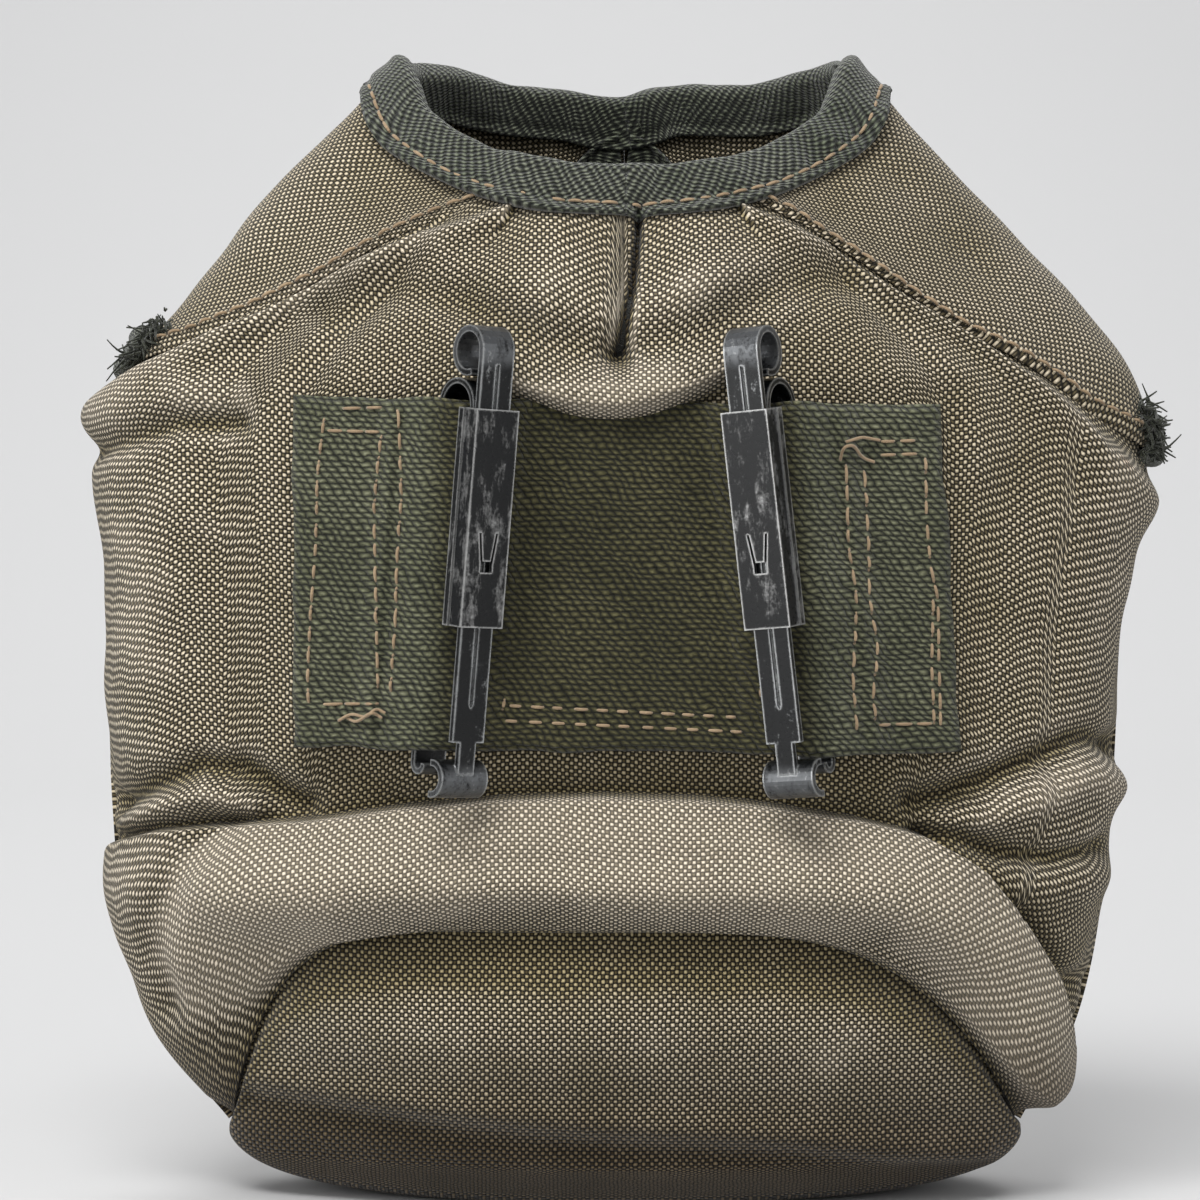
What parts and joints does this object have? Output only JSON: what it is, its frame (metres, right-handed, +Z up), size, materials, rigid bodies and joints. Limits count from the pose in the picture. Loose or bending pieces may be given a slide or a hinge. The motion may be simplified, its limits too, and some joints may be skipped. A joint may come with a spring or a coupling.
{
  "type": "canteen belt cover",
  "caption": "Padded cotton duck cover for a belt canteen, with bound neck, snap-down shoulder flaps and belt webbing carrying sliding steel keepers.",
  "frame": {"origin": "under the middle of the cover's bounding box, on the surface it stands on", "axes": "+Z up to the neck; -Y out of the belt side, with its keepers; +Y out of the front, with the flaps; +X to the right when looking at the belt side"},
  "size_m": [0.1792, 0.0946, 0.1938],
  "materials": {
    "cotton_duck": "matte worn plain-weave cotton duck, khaki olive",
    "pile_lining": "dark pile lining, matte",
    "binding_tape": "matte cotton binding tape, grey green",
    "belt_webbing": "matte heavy cotton webbing, olive",
    "blackened_steel": "black finish worn to bare grey steel on its edges",
    "blackened_brass": "blackened brass, satin"
  },
  "bodies": {
    "cover": {"back_panel": "cotton_duck", "back_lining": "pile_lining", "front_panel": "cotton_duck", "front_lining": "pile_lining", "snap_post_left": "blackened_brass", "snap_stud_left": "blackened_brass", "snap_post_right": "blackened_brass", "snap_stud_right": "blackened_brass", "shoulder_left": "cotton_duck", "shoulder_right": "cotton_duck", "neck_binding": "binding_tape", "front_panel_binding": "binding_tape", "bottom_panel": "cotton_duck", "bottom_lining": "pile_lining", "drain_eyelet": "blackened_brass", "drain_washer": "blackened_brass", "belt_webbing": "belt_webbing", "keeper_frame_left": "blackened_steel", "keeper_sleeve_left": "blackened_steel", "keeper_frame_right": "blackened_steel", "keeper_sleeve_right": "blackened_steel"},
    "flap_left": {"flap_left": "cotton_duck", "flap_neck_binding_left": "binding_tape", "flap_edge_binding_left": "binding_tape", "snap_socket_left": "blackened_brass", "snap_cap_left": "blackened_brass"},
    "flap_right": {"flap_right": "cotton_duck", "flap_neck_binding_right": "binding_tape", "flap_edge_binding_right": "binding_tape", "snap_socket_right": "blackened_brass", "snap_cap_right": "blackened_brass"},
    "slide_left": {"keeper_slide_left": "blackened_steel"},
    "slide_right": {"keeper_slide_right": "blackened_steel"}
  },
  "joints": [
    {"name": "flap_left_fold", "type": "hinge", "parent": "cover", "child": "flap_left", "pos_m": [-0.0668, 0.00248, 0.1627], "axis": [0.6505, 0, 0.7595], "range_deg": [0, 140]},
    {"name": "flap_right_fold", "type": "hinge", "parent": "cover", "child": "flap_right", "pos_m": [0.0668, 0.00248, 0.1627], "axis": [0.6505, 0, -0.7595], "range_deg": [0, 140]},
    {"name": "keeper_left_slide", "type": "slide", "parent": "cover", "child": "slide_left", "axis": [0.0802, 0, 0.9968], "range_m": [0, 0.018]},
    {"name": "keeper_right_slide", "type": "slide", "parent": "cover", "child": "slide_right", "axis": [-0.1115, 0, 0.9938], "range_m": [0, 0.018]}
  ]
}
